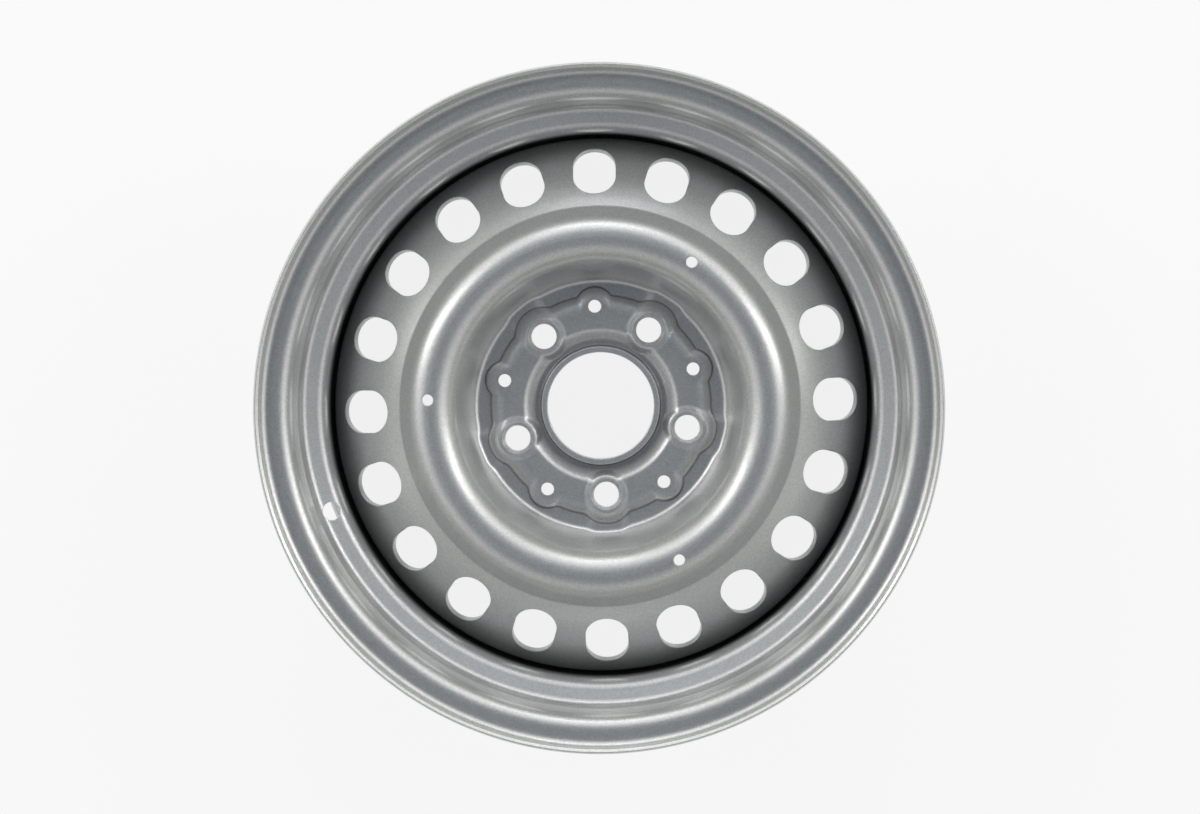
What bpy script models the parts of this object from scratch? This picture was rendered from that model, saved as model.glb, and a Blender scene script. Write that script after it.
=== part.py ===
"""Steel road wheel, modelled as it is made.

A strip of sheet is rolled into the rim. A thicker plate is pressed into the wheel disc. The disc's turned
flange is pushed into the rim's well, and short fillet welds at the flange's end hold the two together.
The wheel lies on its inboard lip, with its axle line on +Z and its outer face up.
"""
import math
from collections import namedtuple

import bmesh
import bpy
from mathutils import Matrix

# Rim: sizes in metres, angles in degrees
RIM_SHEET = 0.0026
BEAD_WIDTH = 0.1651
BEAD_SEAT_RADIUS = 0.1901
BEAD_SEAT_TAPER = 5.0
FLANGE_HEIGHT = 0.0175
LIP_RADIUS = 0.008
LIP_END_ANGLE = 40.0
HEEL_RADIUS = 0.0065
HUMP_START = 0.0165
HUMP_CREST = 0.0225
HUMP_RISE = 0.0014
LEDGE_WIDTH = 0.030
WELL_DEPTH = 0.016
WELL_WIDTH = 0.054
WELL_SLOPE = 70.0
WELL_BEND = 0.0055
INBOARD_SLOPE = 44.0
VALVE_HOLE_RADIUS = 0.00565
VALVE_HOLE_ANGLE = 201.4

# Disc: the plate, the bore and the hub plateau
DISC_SHEET = 0.0036
OFFSET = 0.037
BORE_RADIUS = 0.0333
COLLAR_HEIGHT = 0.0122
COLLAR_BEND = 0.0021
GROOVE_WIDTH = 0.0042
GROOVE_SLOPE_WIDTH = 0.0060
PLATEAU_RADIUS = 0.0693
PLATEAU_RISE = 0.0025
PLATEAU_FLANK = 0.0060
PLATEAU_BROW = 0.0018
PLATEAU_CROWN = 0.0009
FIRST_BOLT_ANGLE = 57.54
BOLT_COUNT = 5
BOLT_CIRCLE_RADIUS = 0.056
BOLT_HOLE_RADIUS = 0.00785
BOLT_LOBE_RADIUS = 0.0184
BOSS_RADIUS = 0.0146
BOSS_RISE = 0.0034
BOSS_STEP = 0.0016
BOSS_STEP_WIDTH = 0.0010
BOSS_WALL = 0.0020
BOSS_ROOT = 0.0030
SEAT_RADIUS = 0.0097
SEAT_DEPTH = 0.0022
SMALL_CIRCLE_RADIUS = 0.0623
SMALL_HOLE_RADIUS = 0.0040
SMALL_LOBE_RADIUS = 0.0123
BRIDGE_ANGLE = 5.5

# Disc: the bowl, the hat ring, the cone and the flange
CHANNEL_GAP = 0.0016
BOWL_BEND = 0.0040
BOWL_WALL_ANGLE = 74.0
HAT_HEIGHT = 0.0455
HAT_BEND = 0.0157
HAT_FLAT = 0.0004
HAT_OUTER_ANGLE = 60.0
HAT_DROP = 0.0138
CREASE_BEND = 0.0062
CONE_ANGLE = 38.0
SHOULDER_BEND = 0.0088
DISC_FLANGE_LENGTH = 0.021
CAP_HOLE_COUNT = 3
CAP_HOLE_RADIUS = 0.0034
CAP_HOLE_ANGLE = 57.6
CAP_HOLE_OUTSET = 0.0010
VENT_COUNT = 20
VENT_WIDTH = 0.0263
VENT_LENGTH = 0.0410
VENT_TO_SHOULDER = 0.0086
FIRST_VENT_ANGLE = 1.56

# Welds and fit
FIT_GAP = 0.0003
WELD_COUNT = 10
WELD_LEG = 0.0040
WELD_HOLLOW = 0.12

# Paint
PAINT_COLOUR = (0.62, 0.63, 0.62, 1.0)
PAINT_ROUGHNESS = 0.38
PAINT_METALLIC = 0.75
SHARP_EDGE_ANGLE = 35.0

# Facets
ROUND = 60
LIP_STEPS = 3
WELD_FACETS = 4
WELD_ARC_STEPS = 3
HOLE_FACETS = 18
SMALL_HOLE_FACETS = 12
VENT_END_FACETS = 4

# Half the sheets, and where the planes and the well's floor line lie
RIM_HALF = RIM_SHEET / 2
DISC_HALF = DISC_SHEET / 2
LIP_REACH = LIP_RADIUS * (1 + math.sin(math.radians(LIP_END_ANGLE)))
MID_PLANE = BEAD_WIDTH / 2 + LIP_REACH
HUB_PLANE = MID_PLANE + OFFSET
WELL_LINE_RADIUS = BEAD_SEAT_RADIUS - WELL_DEPTH - RIM_HALF

Corner = namedtuple("Corner", "radius height bend steps", defaults=(0.0, 1))
Station = namedtuple("Station", "radius height normal angles")


def clear_scene():
    """Remove every object that the file starts with."""
    for thing in list(bpy.data.objects):
        bpy.data.objects.remove(thing)


def silver_paint():
    """Silver metallic wheel paint."""
    paint = bpy.data.materials.new("silver_paint")
    paint.use_nodes = True
    shader = paint.node_tree.nodes["Principled BSDF"]
    shader.inputs["Base Color"].default_value = PAINT_COLOUR
    shader.inputs["Roughness"].default_value = PAINT_ROUGHNESS
    shader.inputs["Metallic"].default_value = PAINT_METALLIC
    return paint


def add_object(name, bm, paint=None):
    """Turn a bmesh into an object; without paint it is a cutter or a form that is joined on."""
    mesh = bpy.data.meshes.new(name)
    bm.normal_update()
    bm.to_mesh(mesh)
    bm.free()
    thing = bpy.data.objects.new(name, mesh)
    bpy.context.collection.objects.link(thing)
    if paint is None:
        thing.hide_render = True
        thing.display_type = "WIRE"
    else:
        mesh.materials.append(paint)
        mesh.shade_smooth()
        mesh.set_sharp_from_angle(angle=math.radians(SHARP_EDGE_ANGLE))
    return thing


def combine(thing, other, operation):
    """Join a form to a piece, or punch it out of the piece."""
    step = thing.modifiers.new(other.name, "BOOLEAN")
    step.operation = operation
    step.solver = "EXACT"
    step.object = other


def even_angles(count, shift=0.0):
    """The angles of an even ring of points, turned by a share of their spacing."""
    return [math.tau * (i + shift) / count for i in range(count)]


# The points round the rim and the outer part of the disc
ROUND_ANGLES = even_angles(ROUND)


def bend_stations(before, corner, after, half, angles):
    """Stations round one corner of a sheet's middle line; a bend is given at the inside of the sheet."""
    way_in = math.atan2(corner.height - before.height, corner.radius - before.radius)
    way_out = math.atan2(after.height - corner.height, after.radius - corner.radius)
    turn = math.remainder(way_out - way_in, math.tau)
    if not corner.bend:
        middle = way_in + turn / 2
        mitre = 1 / math.cos(turn / 2)
        normal = (-math.sin(middle) * mitre, math.cos(middle) * mitre)
        return [Station(corner.radius, corner.height, normal, angles)]
    side = math.copysign(corner.bend + half, turn)
    reach = abs(side * math.tan(turn / 2))
    centre_radius = corner.radius - reach * math.cos(way_in) - side * math.sin(way_in)
    centre_height = corner.height - reach * math.sin(way_in) + side * math.cos(way_in)
    stations = []
    for i in range(corner.steps + 1):
        way = way_in + turn * i / corner.steps
        normal = (-math.sin(way), math.cos(way))
        radius = centre_radius - side * normal[0]
        height = centre_height - side * normal[1]
        stations.append(Station(radius, height, normal, angles))
    return stations


def end_station(corner, before, after, angles):
    """The station at an end of the middle line, square to its last stretch."""
    way = math.atan2(after.height - before.height, after.radius - before.radius)
    return Station(corner.radius, corner.height, (-math.sin(way), math.cos(way)), angles)


def middle_line(corners, half, angles):
    """Stations along a sheet's middle line from end to end, with every corner bent or mitred."""
    stations = [end_station(corners[0], corners[0], corners[1], angles)]
    for before, corner, after in zip(corners, corners[1:], corners[2:]):
        stations += bend_stations(before, corner, after, half, angles)
    stations.append(end_station(corners[-1], corners[-2], corners[-1], angles))
    return stations


def at(value, angle):
    """A size that is the same all round, or a function of the angle."""
    return value(angle) if callable(value) else value


def add_ring(bm, station, offset):
    """One closed ring of points, offset from a station of the middle line along its normal."""
    ring = []
    for angle in station.angles:
        radius = at(station.radius, angle) + offset * station.normal[0]
        height = at(station.height, angle) + offset * station.normal[1]
        ring.append(bm.verts.new((radius * math.cos(angle), radius * math.sin(angle), height)))
    return ring


def close_band(bm, lower, upper, lower_angles, upper_angles):
    """Faces between two rings, which may have different numbers of points."""
    if lower_angles is upper_angles:
        for i in range(len(lower)):
            j = (i + 1) % len(lower)
            bm.faces.new((lower[i], lower[j], upper[j], upper[i]))
        return
    i = j = 0
    while i < len(lower) or j < len(upper):
        next_lower = lower_angles[i + 1] if i + 1 < len(lower) else lower_angles[0] + math.tau
        next_upper = upper_angles[j + 1] if j + 1 < len(upper) else upper_angles[0] + math.tau
        near_lower, near_upper = lower[i % len(lower)], upper[j % len(upper)]
        if j == len(upper) or (i < len(lower) and next_lower <= next_upper):
            bm.faces.new((near_lower, lower[(i + 1) % len(lower)], near_upper))
            i += 1
        else:
            bm.faces.new((near_lower, upper[(j + 1) % len(upper)], near_upper))
            j += 1


def revolve_sheet(stations, half):
    """A closed sheet of even thickness round +Z, from the stations of its middle line."""
    bm = bmesh.new()
    bands = [(add_ring(bm, station, half), station.angles) for station in stations]
    bands += [(add_ring(bm, station, -half), station.angles) for station in reversed(stations)]
    for (lower, lower_angles), (upper, upper_angles) in zip(bands, bands[1:] + bands[:1]):
        close_band(bm, lower, upper, lower_angles, upper_angles)
    bmesh.ops.recalc_face_normals(bm, faces=bm.faces)
    return bm


def turned_form(profile, place, facets=HOLE_FACETS):
    """A closed turned solid; the profile runs from its lower end to its upper end as (radius, height)."""
    bm = bmesh.new()
    stations = [Station(radius, height, (0, 0), even_angles(facets, 0.5)) for radius, height in profile]
    rings = [add_ring(bm, station, 0) for station in stations]
    for lower, upper in zip(rings, rings[1:]):
        for i in range(facets):
            bm.faces.new((lower[i - 1], lower[i], upper[i], upper[i - 1]))
    bm.faces.new(list(reversed(rings[0])))
    bm.faces.new(rings[-1])
    bm.transform(place)
    return bm


def on_circle(radius, angle, height=0.0):
    """A place on a circle about the axle line, with its own +X pointing outwards."""
    return Matrix.Rotation(angle, 4, "Z") @ Matrix.Translation((radius, 0, height))


def pattern(first, count):
    """The angles of an even pattern of holes, in radians."""
    return [math.radians(first) + math.tau * i / count for i in range(count)]


def join_forms(forms):
    """Several separate turned forms as the one bmesh of a cutter."""
    whole = bmesh.new()
    for form in forms:
        piece = bpy.data.meshes.new("form")
        form.to_mesh(piece)
        form.free()
        whole.from_mesh(piece)
        bpy.data.meshes.remove(piece)
    return whole


def seat_radius(distance):
    """Middle-line radius of a bead seat at a distance from the flange's tyre face."""
    return BEAD_SEAT_RADIUS - RIM_HALF - distance * math.tan(math.radians(BEAD_SEAT_TAPER))


def bead_corners():
    """Flange wall, heel, bead seat and hump, as distances from the flange's tyre face."""
    lip_centre = BEAD_SEAT_RADIUS + FLANGE_HEIGHT - LIP_RADIUS
    return [
        Corner(lip_centre, -RIM_HALF),
        Corner(seat_radius(-RIM_HALF), -RIM_HALF, HEEL_RADIUS, 2),
        Corner(seat_radius(HUMP_START), HUMP_START),
        Corner(seat_radius(HUMP_CREST) + HUMP_RISE, HUMP_CREST),
    ]


def lip_stations():
    """The rolled lip, from its cut edge over the crest to the flange wall, outboard side up."""
    centre_radius = BEAD_SEAT_RADIUS + FLANGE_HEIGHT - LIP_RADIUS
    centre_height = MID_PLANE + BEAD_WIDTH / 2 + LIP_RADIUS
    stations = []
    for i in range(LIP_STEPS + 1):
        way = math.radians(LIP_END_ANGLE - (LIP_END_ANGLE + 90) * i / LIP_STEPS)
        normal = (math.cos(way), math.sin(way))
        radius = centre_radius + (LIP_RADIUS - RIM_HALF) * normal[0]
        height = centre_height + (LIP_RADIUS - RIM_HALF) * normal[1]
        stations.append(Station(radius, height, normal, ROUND_ANGLES))
    return stations


def mirrored(stations):
    """The same stretch of section on the inboard side, in the order that the section runs there."""
    return [s._replace(height=2 * MID_PLANE - s.height, normal=(s.normal[0], -s.normal[1]))
            for s in reversed(stations)]


def well_corners():
    """The drop-centre well: outboard ledge end, well floor's two corners, inboard slope's top."""
    outboard_face = MID_PLANE + BEAD_WIDTH / 2
    ledge = outboard_face - LEDGE_WIDTH
    ledge_radius = seat_radius(HUMP_CREST) + HUMP_RISE
    fall = (ledge_radius - WELL_LINE_RADIUS) / math.tan(math.radians(WELL_SLOPE))
    floor_top = ledge - fall
    floor_end = floor_top - WELL_WIDTH
    slope_radius = seat_radius(LEDGE_WIDTH)
    rise = (slope_radius - WELL_LINE_RADIUS) / math.tan(math.radians(INBOARD_SLOPE))
    return [
        Corner(ledge_radius, ledge, WELL_BEND, 2),
        Corner(WELL_LINE_RADIUS, floor_top, WELL_BEND, 2),
        Corner(WELL_LINE_RADIUS, floor_end),
        Corner(slope_radius, floor_end - rise),
    ]


def rim_stations():
    """The whole rim section, from the outboard lip's cut edge to the inboard one's."""
    face = BEAD_WIDTH / 2
    outboard = [c._replace(height=MID_PLANE + face - c.height) for c in bead_corners()]
    inboard = [c._replace(height=MID_PLANE - face + c.height) for c in reversed(bead_corners())]
    hump_foot = Corner(seat_radius(LEDGE_WIDTH), MID_PLANE - face + LEDGE_WIDTH)
    corners = outboard + well_corners() + [hump_foot] + inboard
    barrel = middle_line(corners, RIM_HALF, ROUND_ANGLES)
    return lip_stations() + barrel[1:-1] + mirrored(lip_stations())


def valve_hole_form():
    """The valve hole's punch, square to the outboard wall of the well and central on it."""
    ledge, floor = well_corners()[:2]
    radius = (ledge.radius + floor.radius) / 2
    height = (ledge.height + floor.height) / 2
    lean = Matrix.Rotation(math.radians(WELL_SLOPE - 90), 4, "Y")
    place = on_circle(radius, math.radians(VALVE_HOLE_ANGLE), height) @ lean
    reach = 3 * RIM_SHEET
    return turned_form([(VALVE_HOLE_RADIUS, -reach), (VALVE_HOLE_RADIUS, reach)], place)


def build_rim(paint):
    """The rolled rim with its valve hole."""
    rim = add_object("rim", revolve_sheet(rim_stations(), RIM_HALF), paint)
    combine(rim, add_object("valve_hole_punch", valve_hole_form()), "DIFFERENCE")
    return rim


def lobe_reach(offset, circle_radius, lobe_radius):
    """How far out a round lobe reaches, at an angle from its own centre line."""
    side = circle_radius * math.sin(offset)
    if abs(side) >= lobe_radius or math.cos(offset) < 0:
        return 0.0
    return circle_radius * math.cos(offset) + math.sqrt(lobe_radius ** 2 - side ** 2)


def lobe_edge_angle(circle_radius, lobe_radius):
    """Half the angle over which a lobe stands out of the plateau's round outline."""
    least = math.radians(2)
    cosine = circle_radius ** 2 + PLATEAU_RADIUS ** 2 - lobe_radius ** 2
    cosine /= 2 * circle_radius * PLATEAU_RADIUS
    return max(math.acos(min(cosine, 1.0)), least)


def from_bolt(angle):
    """Angle from the nearest bolt hole's centre line."""
    return math.remainder(angle - math.radians(FIRST_BOLT_ANGLE), math.tau / BOLT_COUNT)


def plateau_outline(angle):
    """Foot of the plateau's flank: a round with a lobe at each bolt hole and each small hole."""
    offset = from_bolt(angle)
    half_pitch = math.pi / BOLT_COUNT
    return max(
        PLATEAU_RADIUS,
        lobe_reach(offset, BOLT_CIRCLE_RADIUS, BOLT_LOBE_RADIUS),
        lobe_reach(half_pitch - abs(offset), SMALL_CIRCLE_RADIUS, SMALL_LOBE_RADIUS),
    )


def hub_angles():
    """Angles of the hub's points, with a point where each lobe leaves the round outline."""
    half_pitch = math.pi / BOLT_COUNT
    bolt_edge = lobe_edge_angle(BOLT_CIRCLE_RADIUS, BOLT_LOBE_RADIUS)
    small_edge = half_pitch - lobe_edge_angle(SMALL_CIRCLE_RADIUS, SMALL_LOBE_RADIUS)
    steps = [(0.0, bolt_edge, 3), (bolt_edge, small_edge, 3), (small_edge, half_pitch, 2)]
    half = [start + (end - start) * i / count for start, end, count in steps for i in range(count)]
    period = half + [half_pitch] + [-angle for angle in half[1:]]
    return sorted((bolt + angle) % math.tau
                  for bolt in pattern(FIRST_BOLT_ANGLE, BOLT_COUNT) for angle in period)


def bridge(angle):
    """Share of the plateau's height that is carried across the channel to the bowl at a bolt hole."""
    width = math.radians(BRIDGE_ANGLE)
    fade = min(max(2 - abs(from_bolt(angle)) / width, 0.0), 1.0)
    return fade * fade * (3 - 2 * fade)


def hub_stations():
    """The hub: collar, groove, plateau with its scalloped flank, and the channel at the bowl's foot."""
    angles = hub_angles()
    up = (0.0, 1.0)
    floor = HUB_PLANE + DISC_HALF
    collar = BORE_RADIUS + DISC_HALF
    groove_end = collar + DISC_HALF + COLLAR_BEND + GROOVE_WIDTH
    plateau = floor + PLATEAU_RISE

    def foot_height(angle):
        return floor + PLATEAU_RISE * bridge(angle)

    def brow_height(angle):
        return max(plateau - PLATEAU_CROWN, foot_height(angle))

    collar_line = middle_line([
        Corner(collar, HUB_PLANE + COLLAR_HEIGHT),
        Corner(collar, floor, COLLAR_BEND, 2),
        Corner(groove_end, floor),
    ], DISC_HALF, angles)
    return collar_line + [
        Station(groove_end + GROOVE_SLOPE_WIDTH, plateau, up, angles),
        Station(lambda angle: plateau_outline(angle) - PLATEAU_FLANK, plateau, up, angles),
        Station(lambda angle: plateau_outline(angle) - PLATEAU_BROW, brow_height, up, angles),
        Station(plateau_outline, foot_height, up, angles),
    ]


def disc_corners():
    """Corners of the disc's middle line from the channel over the hat ring to the flange's end."""
    floor = HUB_PLANE + DISC_HALF
    crest = HUB_PLANE + HAT_HEIGHT - DISC_HALF
    wall = math.radians(BOWL_WALL_ANGLE)
    outer = math.radians(HAT_OUTER_ANGLE)
    cone = math.radians(CONE_ANGLE)
    hat_turns = math.tan(wall / 2) + math.tan(outer / 2)
    scallops = max(BOLT_CIRCLE_RADIUS + BOLT_LOBE_RADIUS, SMALL_CIRCLE_RADIUS + SMALL_LOBE_RADIUS, PLATEAU_RADIUS)
    bowl_foot = scallops + CHANNEL_GAP + (BOWL_BEND + DISC_HALF) * math.tan(wall / 2)
    hat_inner = bowl_foot + (crest - floor) / math.tan(wall)
    hat_outer = hat_inner + (HAT_BEND - DISC_HALF) * hat_turns + HAT_FLAT
    crease = hat_outer + HAT_DROP / math.tan(outer)
    flange = WELL_LINE_RADIUS - RIM_HALF - FIT_GAP - DISC_HALF
    shoulder_height = crest - HAT_DROP - (flange - crease) * math.tan(cone)
    return [
        Corner(bowl_foot, floor, BOWL_BEND, 2),
        Corner(hat_inner, crest, HAT_BEND - DISC_SHEET, 3),
        Corner(hat_outer, crest, HAT_BEND - DISC_SHEET, 3),
        Corner(crease, crest - HAT_DROP, CREASE_BEND, 1),
        Corner(flange, shoulder_height, SHOULDER_BEND - DISC_SHEET, 2),
        Corner(flange, shoulder_height - DISC_FLANGE_LENGTH),
    ]


def disc_stations():
    """The whole disc section; the hub has its own angles, and the rest has the rim's."""
    hub = hub_stations()
    floor = HUB_PLANE + DISC_HALF
    corners = disc_corners()
    bowl = bend_stations(Corner(0.0, floor), corners[0], corners[1], DISC_HALF, hub[0].angles)
    heights = [s.height for s in bowl]
    shares = [1.0, 0.5, 0.0]
    bowl = [s._replace(height=lambda angle, h=h, share=share: h + PLATEAU_RISE * share * bridge(angle))
            for s, h, share in zip(bowl, heights, shares)]
    outer = middle_line(corners, DISC_HALF, ROUND_ANGLES)
    return hub + bowl + outer[1:]


def boss_forms():
    """The raised bosses round the bolt holes, rooted in the plate."""
    base = HUB_PLANE + DISC_SHEET + PLATEAU_RISE
    profile = [
        (BOSS_RADIUS, base - BOSS_ROOT),
        (BOSS_RADIUS, base),
        (BOSS_RADIUS - BOSS_STEP_WIDTH, base + BOSS_STEP),
        (SEAT_RADIUS, base + BOSS_RISE),
    ]
    return join_forms([turned_form(profile, on_circle(BOLT_CIRCLE_RADIUS, angle))
                       for angle in pattern(FIRST_BOLT_ANGLE, BOLT_COUNT)])


def boss_hollow_forms():
    """The hollows that pressing the bosses leaves in the back of the plate."""
    back = HUB_PLANE + PLATEAU_RISE
    profile = [
        (BOSS_RADIUS - BOSS_WALL, HUB_PLANE - DISC_SHEET),
        (BOSS_RADIUS - BOSS_WALL, back),
        (BOSS_RADIUS - BOSS_WALL - BOSS_STEP_WIDTH, back + BOSS_STEP),
    ]
    return [turned_form(profile, on_circle(BOLT_CIRCLE_RADIUS, angle))
            for angle in pattern(FIRST_BOLT_ANGLE, BOLT_COUNT)]


def bolt_hole_forms():
    """Bolt holes with the flared seat that the bolt's head centres in."""
    top = HUB_PLANE + DISC_SHEET + PLATEAU_RISE + BOSS_RISE
    flare = (SEAT_RADIUS - BOLT_HOLE_RADIUS) / SEAT_DEPTH
    profile = [
        (BOLT_HOLE_RADIUS, HUB_PLANE - DISC_SHEET),
        (BOLT_HOLE_RADIUS, top - SEAT_DEPTH),
        (SEAT_RADIUS + flare * SEAT_DEPTH, top + SEAT_DEPTH),
    ]
    return [turned_form(profile, on_circle(BOLT_CIRCLE_RADIUS, angle))
            for angle in pattern(FIRST_BOLT_ANGLE, BOLT_COUNT)]


def round_hole_forms(circle_radius, hole_radius, height, angles):
    """Plain round punches parallel to the axle line."""
    reach = 2 * DISC_SHEET
    profile = [(hole_radius, height - reach), (hole_radius, height + reach)]
    return [turned_form(profile, on_circle(circle_radius, angle), SMALL_HOLE_FACETS) for angle in angles]


def small_hole_forms():
    """The small holes between the bolt holes."""
    first = FIRST_BOLT_ANGLE + 180 / BOLT_COUNT
    height = HUB_PLANE + PLATEAU_RISE + DISC_HALF
    return round_hole_forms(SMALL_CIRCLE_RADIUS, SMALL_HOLE_RADIUS, height, pattern(first, BOLT_COUNT))


def cap_hole_forms():
    """The holes on the hat ring's crest that hold a wheel cap's clips."""
    hat_inner, hat_outer = disc_corners()[1:3]
    wall = math.radians(BOWL_WALL_ANGLE)
    crest_radius = hat_inner.radius + (hat_inner.bend + DISC_HALF) * math.tan(wall / 2) + HAT_FLAT / 2
    angles = pattern(CAP_HOLE_ANGLE, CAP_HOLE_COUNT)
    return round_hole_forms(crest_radius + CAP_HOLE_OUTSET, CAP_HOLE_RADIUS, hat_outer.height, angles)


def vent_form(angle):
    """The punch of one vent: a slot that runs up the cone, square to its face."""
    shoulder = disc_corners()[4]
    cone = math.radians(CONE_ANGLE)
    from_shoulder = VENT_TO_SHOULDER + VENT_LENGTH / 2
    radius = shoulder.radius - from_shoulder * math.cos(cone)
    height = shoulder.height + from_shoulder * math.sin(cone)
    place = on_circle(radius, angle, height) @ Matrix.Rotation(cone, 4, "Y")
    half_width = VENT_WIDTH / 2
    straight = VENT_LENGTH / 2 - half_width
    reach = 2 * DISC_SHEET
    outline = []
    for end, start in ((1, -90), (-1, 90)):
        for i in range(VENT_END_FACETS + 1):
            way = math.radians(start + 180 * i / VENT_END_FACETS)
            outline.append((end * straight + half_width * math.cos(way), half_width * math.sin(way)))
    bm = bmesh.new()
    floor = bm.faces.new([bm.verts.new((x, y, -reach)) for x, y in outline])
    walls = bmesh.ops.extrude_face_region(bm, geom=[floor])["geom"]
    lid = [item for item in walls if isinstance(item, bmesh.types.BMVert)]
    bmesh.ops.translate(bm, verts=lid, vec=(0, 0, 2 * reach))
    bmesh.ops.recalc_face_normals(bm, faces=bm.faces)
    bm.transform(place)
    return bm


def build_disc(paint):
    """The pressed disc: bosses raised, hollows and holes punched."""
    disc = add_object("wheel_disc", revolve_sheet(disc_stations(), DISC_HALF), paint)
    combine(disc, add_object("bolt_bosses", boss_forms()), "UNION")
    combine(disc, add_object("boss_hollows", join_forms(boss_hollow_forms())), "DIFFERENCE")
    holes = bolt_hole_forms() + small_hole_forms() + cap_hole_forms()
    combine(disc, add_object("round_punches", join_forms(holes)), "DIFFERENCE")
    vents = [vent_form(angle) for angle in pattern(FIRST_VENT_ANGLE, VENT_COUNT)]
    combine(disc, add_object("vent_punches", join_forms(vents)), "DIFFERENCE")
    return disc


def weld_section():
    """A fillet bead's section in the corner between the flange's end and the well."""
    flange_end = disc_corners()[5].height - FIT_GAP
    wall = WELL_LINE_RADIUS - RIM_HALF - FIT_GAP
    points = [(wall, flange_end)]
    for i in range(WELD_ARC_STEPS + 1):
        way = math.pi / 2 * i / WELD_ARC_STEPS
        throat = WELD_LEG * (1 - WELD_HOLLOW * math.sin(2 * way))
        points.append((wall - throat * math.sin(way), flange_end - throat * math.cos(way)))
    return points


def build_weld(index, paint):
    """One stretch of the interrupted fillet weld, between facets of the rim."""
    first = index * ROUND // WELD_COUNT
    bm = bmesh.new()
    rings = []
    for i in range(first, first + WELD_FACETS + 1):
        angle = math.tau * i / ROUND
        rings.append([bm.verts.new((radius * math.cos(angle), radius * math.sin(angle), height))
                      for radius, height in weld_section()])
    for near, far in zip(rings, rings[1:]):
        for i in range(len(near)):
            bm.faces.new((near[i - 1], near[i], far[i], far[i - 1]))
    bm.faces.new(rings[0])
    bm.faces.new(rings[-1])
    bmesh.ops.recalc_face_normals(bm, faces=bm.faces)
    return add_object(f"weld_bead_{index + 1:02d}", bm, paint)


clear_scene()
wheel_paint = silver_paint()
build_rim(wheel_paint)
build_disc(wheel_paint)
for weld_index in range(WELD_COUNT):
    build_weld(weld_index, wheel_paint)
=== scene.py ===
import math

import bpy
from mathutils import Matrix, Vector


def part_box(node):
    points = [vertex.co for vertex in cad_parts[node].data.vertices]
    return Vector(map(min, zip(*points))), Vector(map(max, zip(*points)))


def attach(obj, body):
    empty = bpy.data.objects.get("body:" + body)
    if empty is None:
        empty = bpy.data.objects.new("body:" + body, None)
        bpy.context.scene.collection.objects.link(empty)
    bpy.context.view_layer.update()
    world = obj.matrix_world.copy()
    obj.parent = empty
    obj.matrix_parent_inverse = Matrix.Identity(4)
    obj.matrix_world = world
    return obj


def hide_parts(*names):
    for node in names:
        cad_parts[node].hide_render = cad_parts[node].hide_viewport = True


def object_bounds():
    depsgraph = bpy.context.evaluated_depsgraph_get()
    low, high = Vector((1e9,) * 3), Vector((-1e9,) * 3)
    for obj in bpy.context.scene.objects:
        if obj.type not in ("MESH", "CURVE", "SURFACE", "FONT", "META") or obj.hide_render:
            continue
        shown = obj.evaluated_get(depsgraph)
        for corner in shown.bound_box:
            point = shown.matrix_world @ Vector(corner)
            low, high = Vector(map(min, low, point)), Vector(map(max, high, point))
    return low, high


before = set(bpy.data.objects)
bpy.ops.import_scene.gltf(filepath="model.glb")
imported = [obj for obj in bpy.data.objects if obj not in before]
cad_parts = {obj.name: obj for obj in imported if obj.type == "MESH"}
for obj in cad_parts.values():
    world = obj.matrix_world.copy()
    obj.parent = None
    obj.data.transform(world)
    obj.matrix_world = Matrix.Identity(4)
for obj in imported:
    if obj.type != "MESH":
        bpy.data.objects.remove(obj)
cad_low, cad_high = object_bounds()


# Studio
# The wheel is photographed from straight above its outer face, from a metre away, by a camera that looks straight
# down and stands a little to the right of the axle line and towards the photograph's top. The wheel's place in the
# photograph is given in pixels from its middle.
LIP_CREST_HEIGHT = cad_high.z - 0.00514
CAMERA_DISTANCE = 1.000
CAMERA_RIGHT = 0.0214
CAMERA_UP = 0.0355
FOCAL_LENGTH = 50.0
FILM_WIDTH = 36.0
IMAGE_WIDTH = 1200
WHEEL_RIGHT_PIXELS = -0.78
WHEEL_UP_PIXELS = -0.87

camera_data = bpy.data.cameras.new("camera")
camera_data.lens = FOCAL_LENGTH
camera_data.sensor_width = FILM_WIDTH
magnification = FOCAL_LENGTH / (FILM_WIDTH * CAMERA_DISTANCE)
camera_data.shift_x = -CAMERA_RIGHT * magnification - WHEEL_RIGHT_PIXELS / IMAGE_WIDTH
camera_data.shift_y = -CAMERA_UP * magnification - WHEEL_UP_PIXELS / IMAGE_WIDTH
camera = bpy.data.objects.new("camera", camera_data)
bpy.context.collection.objects.link(camera)
camera.location = (CAMERA_RIGHT, CAMERA_UP, LIP_CREST_HEIGHT + CAMERA_DISTANCE)
bpy.context.scene.camera = camera
bpy.context.scene.view_settings.view_transform = "Standard"


# Light tent
# A pale tent all round the wheel: a wide bright band half-way up its walls, brighter towards the photograph's
# top, and a dim bluish roof where the camera hangs. The camera itself sees the tent as the white page.
TENT_BANDS = (
    (0.00, (0.14, 0.12, 0.10)),
    (0.17, (0.34, 0.32, 0.28)),
    (0.34, (0.84, 0.82, 0.77)),
    (0.50, (1.18, 1.16, 1.11)),
    (0.64, (1.10, 1.11, 1.09)),
    (0.77, (0.63, 0.66, 0.69)),
    (0.87, (0.11, 0.13, 0.17)),
    (1.00, (0.05, 0.06, 0.08)),
)
BRIGHT_TOP_SHARE = 0.50
BACKDROP_WHITE = 1.0

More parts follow.
